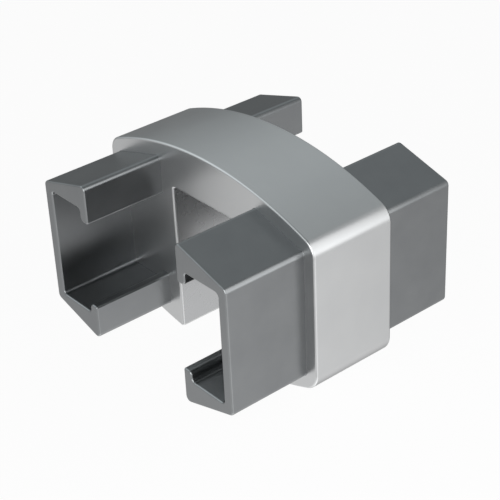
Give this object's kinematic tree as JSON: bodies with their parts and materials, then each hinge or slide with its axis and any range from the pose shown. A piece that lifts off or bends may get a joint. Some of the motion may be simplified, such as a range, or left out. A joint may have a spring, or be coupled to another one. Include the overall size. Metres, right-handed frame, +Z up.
{
  "type": "rectangular tube connector",
  "caption": "Straight connector for slotted rectangular handrail tube: an arched band with a through slot underneath and hollow lipped plugs on both sides.",
  "frame": {"origin": "under the middle of the band, level with the slot's two lower edges, on which the connector stands", "axes": "+X along the tubes that it joins, +Y across them, +Z up; the slot opens downwards"},
  "size_m": [0.0638, 0.07, 0.0492],
  "materials": {
    "satin_steel": "satin"
  },
  "bodies": {
    "root": {"connector_body": "satin_steel"}
  },
  "joints": []
}
